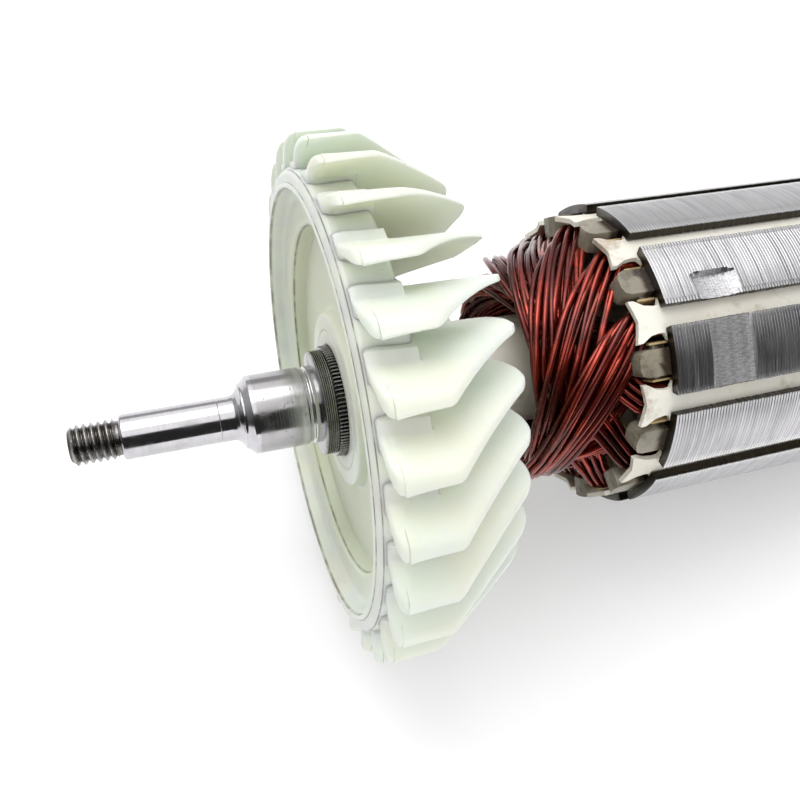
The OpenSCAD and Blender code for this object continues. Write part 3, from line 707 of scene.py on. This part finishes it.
def makeBlades(plan):
    # at each station the section keeps its centre line and is cut to an outer and an inner radius, both
    # broken lines of the station, and its half thickness falls from the rim to the tip
    x, y, lean = bladeLine(plan)
    length, web, knee, parting, front = (plan[key] for key in (
        "length", "web", "knee", "partingStation", "frontEnd"))
    stations = np.array([
        front, 1.08, 1.3, 1.6, 1.95, parting, parting + 0.12, 3.2, 4.2, 5.4, 6.6, web, web + 0.35,
        web + 0.9, knee - 0.35, knee, knee + 0.35, 11.0, 13.0, 15.0, 17.0, 18.6, 19.8, 20.6, 21.2, 21.6, 21.9,
        22.1, length])
    edge, tip, root, foot = plan["radius"], plan["tipRadius"], plan["rootRadius"], plan["frontFoot"]
    outer = np.interp(
        stations, [front, 1.15, 1.5, 1.95, parting, knee - 0.35, knee + 0.35, 20.6, 21.3, 21.8, 22.1, length],
        [edge - 2.1, edge - 1.1, edge - 0.35, edge - 0.05, edge, edge, edge - 0.25,
         tip + 0.95, tip + 0.45, tip - 0.15, tip - 0.75, tip - 1.2])
    inner = np.interp(stations, [front, web - 0.01, web, web + 1.2, 20.2, 21.6, 22.1, length],
                      [foot, foot, root, root, 25.5, tip - 3.2, tip - 2.2, tip - 1.8])
    middle = np.interp(stations, [front, web, 20.2, 21.6, 22.1, length],
                       [foot + 0.3, foot + 0.3, 29.5, 29.9, 29.95, 30.0])
    kneeShare, tipShare = plan["kneeThick"] / plan["frontThick"], plan["tipThick"] / plan["frontThick"]
    thickShare = np.interp(stations, [front, 1.08, 1.3, 1.7, parting, 5.0, knee, 21.2, 21.9, length],
                           [0.45, 0.68, 0.90, 1.0, 1.0, 0.80, kneeShare, tipShare, tipShare - 0.06, 0.22])
    drop = np.where(stations <= parting, plan["partingStep"], 0)
    half = thickShare * plan["frontThick"] / 2 - drop * 0.6
    loops = []
    for k in range(len(stations)):
        sides = {way: sideBetween(x, y, lean, way * half[k], inner[k], middle[k], outer[k] - drop[k])
                 for way in (-1, 1)}
        if stations[k] <= web:  # the sides flare into the rim
            for way, points in sides.items():
                radius = np.hypot(points[:, 0], points[:, 1])
                gap = np.clip(plan["rimRadius"] + plan["fillet"] - radius, 0, plan["fillet"])
                flare = plan["fillet"] - np.sqrt(np.maximum(plan["fillet"] ** 2 - gap ** 2, 0))
                bend = np.interp(radius, np.hypot(x, y)[::-1], lean[::-1])
                points[:, 0] -= way * flare * np.sin(bend)
                points[:, 1] += way * flare * np.cos(bend)
        arc = roundedEnd(sides[1], sides[-1], min(plan["corner"], half[k] * 0.6))
        loops.append(np.concatenate([sides[-1], sides[1][::-1], arc]))
    loops = np.array(loops)
    # the two outer corners at the front lie evenly about a blade's place
    ends = [sideBetween(x, y, lean, way * plan["frontThick"] / 2, 30, 35, edge)[0] for way in (-1, 1)]
    centre = sum(math.atan2(end[1], end[0]) for end in ends) / 2
    turn = (np.arange(plan["blades"]) + 0.5) * 2 * math.pi / plan["blades"] - centre
    c, s = np.cos(turn)[:, None, None], np.sin(turn)[:, None, None]
    px = loops[None, :, :, 0] * c - loops[None, :, :, 1] * s
    py = loops[None, :, :, 0] * s + loops[None, :, :, 1] * c
    points = place(px, py, stations[None, :, None])
    count, rows, columns = px.shape
    ring = np.arange(columns)  # a blade is closed by one face at each end
    shift = (np.arange(count) * rows * columns)[:, None, None]
    faces = [(quads[None] + shift).reshape(-1, quads.shape[-1]) for quads in (
        gridFaces(rows, columns, False, True), ring[None], ring[None, ::-1] + (rows - 1) * columns)]
    return points.reshape(-1, 3), faces


def makeFan(plan):
    discPoints, discFaces = makeFanDisc(plan)
    bladePoints, bladeFaces = makeBlades(plan)
    points = np.concatenate([discPoints, bladePoints])
    faces = outward(discPoints, discFaces)
    faces = faces + [group + len(discPoints) for group in outward(bladePoints, bladeFaces)]
    return buildPiece("fanMoulded", points, faces, nylonFinish, ["fan"], sharp=38)


makeFan(fanPlan)


corePlan = {
    "radius": 25.1, "sheets": 104, "slots": 12, "mouth": 3.0, "toothWidth": 5.0, "slotTop": 23.45,
    "slotBottom": 13.4, "bore": 7.02, "boreSides": 96, "facePoints": 8, "flatFacePoints": 25, "bank": 1.35,
    # how far a sheet's edge and a tooth's corner fall back between two sheets, and how much sheets differ
    "edgeBack": 0.045, "cornerBack": 0.13, "uneven": 0.010, "slipDegrees": 0.05,
    # tooth: first and last station on the core, depth in the middle, steepness of its ends, and the lowest
    # sideways place
    "flats": {5: (5.4, 13.0, 0.92, 0.42, 1.35), 6: (6.0, 13.2, 0.78, 0.09, -20.0)}}


def coreOutline(plan, facePoints):
    # outline of one slot pitch, from the middle of a slot's floor to the next one's: radius, turn, 1 on the
    # outer face, and 1 at the tooth's two edges
    pitch = 360 / plan["slots"]
    halfPitch = math.radians(pitch / 2)
    top, bottom = plan["slotTop"], plan["slotBottom"]

    def halfAt(r):
        return r * math.tan(halfPitch) - plan["toothWidth"] / 2 / math.cos(halfPitch)

    slotSide = [(bottom, 0.0), (bottom, halfAt(bottom) * 0.6), (bottom + 0.5, halfAt(bottom + 0.5)),
                (top - 0.2, halfAt(top - 0.2)), (top, halfAt(top) - 0.5), (top + 0.25, plan["mouth"] / 2)]
    mouthTurn = math.degrees(math.asin(plan["mouth"] / 2 / plan["radius"]))
    share = np.linspace(-1, 1, facePoints)
    if facePoints > plan["facePoints"]:  # closer together where a flat's bank lies
        share = 0.55 * share + 0.45 * share ** 3
    turns = pitch / 2 + share * (pitch / 2 - mouthTurn - 0.35)
    face = [(plan["radius"] - 0.12, mouthTurn), *[(plan["radius"], t) for t in turns],
            (plan["radius"] - 0.12, pitch - mouthTurn)]
    polar = [(math.hypot(a, b), math.degrees(math.atan2(b, a)), 0.0, 0.0) for a, b in slotSide]
    back = [(r, pitch - t, 0.0, 0.0) for r, t, _, _ in reversed(polar[1:])]
    polar += [(r, t, float(0 < k <= facePoints), float(k < 2 or k > facePoints - 1))
              for k, (r, t) in enumerate(face)]
    return np.array(polar + back)


def makeCore(plan):
    # one outline of teeth and slots at every row of stations, three rows to a sheet: its edge falls back a
    # little, and each sheet is turned and grown by a small random amount; a flat is the lower of the tooth's
    # own arc and a hollow, deepest at its middle station, with one bank along it
    pitch, outside, sheetCount = 360 / plan["slots"], plan["radius"], plan["sheets"]
    coreStart, coreEnd = axisPlan["coreStart"], axisPlan["coreEnd"]
    outlines = [coreOutline(plan, plan["flatFacePoints"] if k in plan["flats"] else plan["facePoints"])
                for k in range(plan["slots"])]
    radius, turn, outer, corner = np.concatenate(outlines).T
    tooth = np.concatenate([np.full(len(outline), k) for k, outline in enumerate(outlines)])
    turn = turn + tooth * pitch
    toothTurn = (tooth + 0.5) * pitch
    random = np.random.default_rng(7)

    def perRow(values, last):
        # a value for each row, with one more row that closes the stack
        return np.append(np.asarray(values, float).ravel(), last)

    count = np.arange(sheetCount)[:, None] + np.array([0.0, 0.16, 0.84])[None]
    stations = perRow(coreStart + count * (coreEnd - coreStart) / sheetCount, coreEnd)
    own = random.normal(0, plan["uneven"], sheetCount)[:, None]
    grow = np.minimum(perRow(own + np.array([-plan["edgeBack"], 0.0, 0.0])[None], -plan["edgeBack"]), 0.02)
    edgeDrop = perRow(np.tile([plan["cornerBack"], 0.0, 0.0], sheetCount), plan["cornerBack"])
    slip = perRow(np.repeat(random.normal(0, plan["slipDegrees"], sheetCount), 3), 0.0)
    toneRow = perRow(np.repeat(random.random(sheetCount), 3), 0.5)
    seamRow = perRow(np.tile([1.0, 0.0, 0.0], sheetCount), 1.0)
    aboveFloor = radius[None] > plan["slotBottom"] + 0.6
    r = radius[None] + grow[:, None] * aboveFloor - edgeDrop[:, None] * corner[None]
    offset = np.radians(turn[None] - toothTurn[None] + slip[:, None])
    xl, yl = r * np.cos(offset), r * np.sin(offset)
    ground = np.zeros(xl.shape)
    for which, (begin, finish, depth, steep, sideways) in plan["flats"].items():
        middle, reach = (begin + finish) / 2, (finish - begin) / 2
        share = (stations[:, None] - coreStart - middle) / reach
        floor = outside + grow[:, None] * 0.3 - depth * np.maximum(1 - share ** 2, 0) ** steep
        plane = floor + plan["bank"] * np.maximum(0, sideways - yl)
        cut = (tooth[None] == which) & (radius[None] > outside - 0.2) & (plane < xl) & (np.abs(share) < 1)
        ground = np.where(cut, np.clip((yl - sideways) / 0.1 + 0.5, 0, 1), ground)
        xl = np.where(cut, plane, xl)
    base = np.radians(toothTurn[None] + axisPlan["slotTurn"])
    x, y = xl * np.cos(base) - yl * np.sin(base), xl * np.sin(base) + yl * np.cos(base)
    rows, columns = x.shape
    boreSides, ends = plan["boreSides"], np.array([stations[0], stations[-1]])
    sheetPoints = place(x, y, stations[:, None]).reshape(-1, 3)
    boreTurn = fullTurn(boreSides)
    borePoints = spin(plan["bore"], boreTurn[None], ends[:, None]).reshape(-1, 3)
    points = np.concatenate([sheetPoints, borePoints])
    faces = outward(sheetPoints, [gridFaces(rows, columns, False, True)])
    faces.append(gridFaces(2, boreSides, False, True) + rows * columns)
    hole = [Vector((plan["bore"] * math.cos(t), plan["bore"] * math.sin(t), 0)) for t in boreTurn]
    for ring, row, facing in ((0, 0, -1), (1, rows - 1, 1)):  # both end faces, with the bore left open
        loop = [Vector((x[row, k], y[row, k], 0)) for k in range(columns)]
        index = np.concatenate([row * columns + np.arange(columns),
                                rows * columns + ring * boreSides + np.arange(boreSides)])
        triangles = index[np.array(tessellate_polygon([loop, hole]))]
        a, b, c = (points[triangles[:, k]] for k in range(3))
        wrong = facing * np.einsum("ij,j->i", np.cross(b - a, c - a), along) < 0
        triangles[wrong] = triangles[wrong][:, ::-1]
        faces.append(triangles)
    inside = np.ones(rows)
    inside[[0, -1]] = 0.35  # the stack's two ends carry varnish
    bore = np.zeros(2 * boreSides)
    marks = {
        "sheetTone": np.concatenate([np.repeat(toneRow, columns), bore + 0.5]),
        "outerFace": np.concatenate([(outer[None] * inside[:, None]).ravel(), bore]),
        "sheetSeam": np.concatenate([np.repeat(seamRow, columns), bore]),
        "toothEdge": np.concatenate([np.tile(corner, rows), bore]),
        "groundFlat": np.concatenate([ground.ravel(), bore])}
    return buildPiece("coreSheets", points, faces, laminationFinish, ["lamination_stack"],
                      sharp=22, marks=marks)


makeCore(corePlan)


windingPlan = {
    "coils": 12, "turnStart": 3.0, "leg": 6.0, "rise": 12.4, "span": 150.0, "topRadius": 20.5,
    "bottomRadius": 16.25, "topWidth": 2.05, "bottomWidth": 1.15, "crownRadius": 21.3, "innerRadius": 10.95,
    "lateRadius": 14.6, "width": 7.4, "thick": 1.7, "topHeight": 1.7, "wireRadius": 0.45, "across": 8,
    "layers": 2, "slotColumns": 4, "points": 36, "sides": 8, "wander": 0.17, "lift": 0.35, "shape": 0.80,
    # coils are wound in turn, and the later ones lie on top in their slots; the first one lies lower by the
    # sink, and its rise is less by the tuck, a share
    "firstCoil": 7, "headsOnTop": 5, "tailsOnTop": 7, "sink": 4.2, "tuck": 0.16}


def turnPath(plan, q, acrossShare, throughShare, slotAcross, slotThrough, order):
    # the coil's end turn: its angle is span times (1 - cos(180 q)) / 2, its distance from the core is rise
    # times the sine of its share of the span to a power, and its radius runs down a spiral, which lies lower
    # for a coil that was wound early
    early = (1 - order / (plan["coils"] - 1)) ** 0.6
    headTop, tailTop = order >= plan["headsOnTop"], order >= plan["tailsOnTop"]
    late = q > 0.5
    inTop = np.where(late, tailTop, headTop)
    slotRadius = np.where(inTop, plan["topRadius"], plan["bottomRadius"])
    slotWidth = np.where(inTop, plan["topWidth"], plan["bottomWidth"]) - plan["wireRadius"] * 0.8
    endRadius = np.where(tailTop, plan["lateRadius"], plan["innerRadius"])

    def angleAt(t):
        return plan["span"] * (1 - np.cos(np.pi * t)) / 2

    def outAt(t):
        arch = np.maximum(np.sin(np.pi * angleAt(t) / plan["span"]), 0) ** plan["shape"]
        return plan["rise"] * (1 - plan["tuck"] * early) * arch

    def radiusAt(angle, out):
        free = plan["crownRadius"] + (endRadius - plan["crownRadius"]) * angle / plan["span"]
        free = free - plan["sink"] * early * np.clip(1 - angle / plan["span"], 0, 1)
        return slotRadius + (free - slotRadius) * np.minimum(1, out / np.where(late, 5.5, 6.0))

    angle, out = angleAt(q), outAt(q)
    a, b = np.maximum(0, q - 0.004), np.minimum(1, q + 0.004)
    middle = radiusAt(angle, out)
    around = np.radians(angleAt(b) - angleAt(a)) * middle
    rise = outAt(b) - outAt(a)
    length = np.hypot(around, rise) + 1e-9
    atHead, atTail = q < 0.004, q > 0.996  # there the wires run straight along the axis
    wayRound = np.where(atHead | atTail, 0.0, around / length)
    wayOut = np.where(atHead, 1.0, np.where(atTail, -1.0, rise / length))
    spread = np.clip(np.where(late, (out - 2) / 9, (out - 0.2) / 10), 0, 1)
    spread = spread * (2 - spread)
    thin = np.clip((out - 0.5) / 4, 0, 1)
    freeWidth = plan["width"] / 2 - plan["wireRadius"]
    sideShift = slotWidth * slotAcross * (1 - spread) + freeWidth * acrossShare * spread
    slotHeight = plan["topHeight"] - plan["wireRadius"] * 0.8
    freeHeight = plan["thick"] / 2 - plan["wireRadius"] * 0.9
    lift = slotHeight * slotThrough * (1 - thin) + freeHeight * throughShare * thin
    angle = angle + np.degrees(sideShift * wayOut / middle)
    return angle, radiusAt(angle, out) + lift, out - sideShift * wayRound


def tubesAlong(paths, radius, sides):
    # a small circle carried along each path; paths is tubes by points by xyz
    way = np.gradient(paths, axis=1)
    way /= np.linalg.norm(way, axis=2, keepdims=True)
    guide = np.cross(way, along[None, None])
    guide[:, 0], guide[:, -1] = guide[:, 1], guide[:, -2]  # the legs run straight along the axis
    guide /= np.linalg.norm(guide, axis=2, keepdims=True)
    other = np.cross(way, guide)
    turn = fullTurn(sides)[None, None, :, None]
    rings = paths[:, :, None] + radius * (np.cos(turn) * guide[:, :, None] + np.sin(turn) * other[:, :, None])
    tubes, count = paths.shape[:2]
    shift = (np.arange(tubes) * count * sides)[:, None, None]
    quads = (gridFaces(count, sides, False, True)[None] + shift).reshape(-1, 4)
    ring = np.arange(sides)
    caps = np.stack([ring, ring[::-1] + (count - 1) * sides])
    return rings.reshape(-1, 3), [quads, (caps[None] + shift).reshape(-1, sides)]


def makeWinding(plan, rear):
    # every wire has its place across and through the bundle, in the slot and in the free turn, and wavers a
    # little about it
    random = np.random.default_rng(11 + rear)
    coils, wires, columns = plan["coils"], plan["across"] * plan["layers"], plan["slotColumns"]
    wire = np.arange(wires)
    acrossShare = wire // plan["layers"] / (plan["across"] - 1) * 2 - 1
    throughShare = wire % plan["layers"] * 2.0 - 1
    slotAcross = (wire // columns) / ((wires - 1) // columns) * 2 - 1
    slotThrough = wire % columns / (columns - 1) * 2 - 1
    q = np.linspace(0, 1, plan["points"])
    q = (q + 0.55 * np.sin(4 * np.pi * q) / (4 * np.pi))[None, None]
    phase = random.random((coils, wires, 2))
    speed = random.uniform(0.6, 1.7, (coils, wires, 1))
    waver = plan["wander"] * np.sin(2 * np.pi * (q * speed + phase[..., :1]))
    lift = plan["lift"] * np.sin(2 * np.pi * (q * speed * 1.3 + phase[..., 1:]))
    coil = np.arange(coils)[:, None, None]
    angle, radius, out = turnPath(
        plan, q, acrossShare[None, :, None] + waver, throughShare[None, :, None] + lift,
        slotAcross[None, :, None], slotThrough[None, :, None], (coil - plan["firstCoil"]) % coils)
    turn = np.radians(angle + axisPlan["slotTurn"] + coil * 360 / coils)
    reach = plan["turnStart"] + out
    station = axisPlan["coreEnd"] + reach if rear else axisPlan["coreStart"] - reach
    x, y = radius * np.cos(turn), radius * np.sin(turn)
    leg = -plan["leg"] if rear else plan["leg"]  # both ends run a little way into their slots

    def withLegs(values, added=0.0):
        return np.concatenate([values[..., :1] + added, values, values[..., -1:] + added], axis=-1)

    paths = place(withLegs(x), withLegs(y), withLegs(station, leg)).reshape(coils * wires, -1, 3)
    points, faces = tubesAlong(paths, plan["wireRadius"] / 1000, plan["sides"])
    tone = np.repeat(random.random(coils * wires), paths.shape[1] * plan["sides"])
    name, stands = "windingRear" if rear else "windingFront", [f"coil_{k + 1:02d}" for k in range(coils)]
    return buildPiece(name, points, faces, enamelFinish, stands, sharp=60,
                      marks={"wireTone": tone})


makeWinding(windingPlan, 0)
makeWinding(windingPlan, 1)


# the start of a node's name says its finish
nodeFinishes = {
    "end_insulator_": insulatorFinish, "sleeve_": sleeveFinish, "slot_liner_": paperFinish,
    "slot_wedge_": wedgeFinish, "commutator_bush": ringFinish, "commutator_hub": resinFinish,
    "commutator_bars": copperFinish, "coil_leads": enamelFinish}
for name, node in frame["nodes"].items():
    for start, finish in nodeFinishes.items():
        if name.startswith(start):
            node.data.materials.clear()
            node.data.materials.append(finish)
print("nodes finished")


studioPlan = {
    "floorSize": 6.0, "floorColour": (0.86, 0.86, 0.87), "floorGlow": 0.21,
    "skyColour": (1.0, 0.995, 1.0), "skyLevel": 1.36,
    "skyMiddle": (0.06, 0.33, 0.94), "skyEdge": (0.62, 0.71),  # the ceiling leans a little to the back
    "frontLevel": 0.03, "backLevel": 0.50, "roomEdge": (-0.35, 0.45),
    # name, place, target, size, power, and whether polished metal mirrors it
    "lamps": [("overhead", (-0.04, 0.32, 0.78), (0.0, 0.0, 0.03), 0.6, 2.2, True),
              ("fill", (0.10, -0.75, 0.42), (0.0, 0.0, 0.03), 0.9, 3.6, False)]}


def cameraWhite(tree, shader, strength):
    # where the camera, metal or glass looks straight at the stage, some glow makes it read as white
    path = add(tree, "LightPath").outputs
    seen = calc(tree, "MAXIMUM", path["Is Camera Ray"],
                calc(tree, "MAXIMUM", path["Is Glossy Ray"], path["Is Transmission Ray"]))
    glow = add(tree, "Emission", Color=(1, 1, 1), Strength=times(tree, seen, strength))
    joined = add(tree, "AddShader", i0=shader.outputs[0], i1=glow.outputs[0])
    tree.links.new(joined.outputs[0], tree.nodes["Material Output"].inputs["Surface"])


def makeFloor(plan):
    corners = [(x * plan["floorSize"] / 2, y * plan["floorSize"] / 2, 0)
               for x, y in ((-1, -1), (1, -1), (1, 1), (-1, 1))]
    mesh = bpy.data.meshes.new("floor")
    mesh.from_pydata(corners, [], [(0, 1, 2, 3)])
    floor = putInScene("floor", mesh)
    material, tree, shader = newFinish("paleFloor", Base_Color=plan["floorColour"], Roughness=0.9,
                                       Specular_IOR_Level=0.1)
    cameraWhite(tree, shader, plan["floorGlow"])
    mesh.materials.append(material)


def makeSky(plan):
    # a wide ceiling of even light over a darker room, which is lighter at the back than at the front
    world = bpy.data.worlds.new("studio")
    bpy.context.scene.world = world
    world.use_nodes = True
    tree = world.node_tree
    sky = tree.nodes["Background"]
    way = add(tree, "TexCoord").outputs["Generated"]
    level = add(tree, "VectorMath", {"operation": "DOT_PRODUCT"}, i0=way, i1=plan["skyMiddle"])
    back = add(tree, "SeparateXYZ", Vector=way).outputs[1]
    room = ramp(tree, back, *plan["roomEdge"], plan["frontLevel"], plan["backLevel"])
    ceiling = ramp(tree, level.outputs["Value"], *plan["skyEdge"])
    light = calc(tree, "ADD", times(tree, room, calc(tree, "SUBTRACT", 1.0, ceiling)),
                 times(tree, ceiling, plan["skyLevel"]))
    feed(tree, sky.inputs["Strength"], light)
    feed(tree, sky.inputs["Color"], plan["skyColour"])


def makeLamp(name, spot, target, size, power, mirrored):
    lamp = bpy.data.lights.new(name, "AREA")
    lamp.shape = "DISK"
    lamp.size = size
    lamp.energy = power
    placed = putInScene(name, lamp)
    placed.visible_glossy = mirrored
    placed.location = spot
    placed.rotation_euler = (Vector(target) - Vector(spot)).to_track_quat("-Z", "Y").to_euler()


cameraPlan = {"spot": (-0.065428, -0.061341, 0.154633), "forward": (0.11984, 0.45218, -0.88384),
              "up": (0.25008, 0.8478, 0.46765), "lens": 37.44, "sensor": 36, "near": 0.005}


def makeCamera(plan):
    camera = bpy.data.cameras.new("camera")
    camera.lens = plan["lens"]
    camera.sensor_width = plan["sensor"]
    camera.clip_start = plan["near"]
    placed = putInScene("camera", camera)
    forward, up = Vector(plan["forward"]).normalized(), Vector(plan["up"]).normalized()
    right = forward.cross(up).normalized()
    turned = Matrix((right, right.cross(forward), -forward)).transposed()
    placed.matrix_world = Matrix.Translation(plan["spot"]) @ turned.to_4x4()
    bpy.context.scene.camera = placed


makeFloor(studioPlan)
makeSky(studioPlan)
for lampSettings in studioPlan["lamps"]:
    makeLamp(*lampSettings)
makeCamera(cameraPlan)
bpy.context.scene.view_settings.view_transform = "Standard"
print("studio ready")
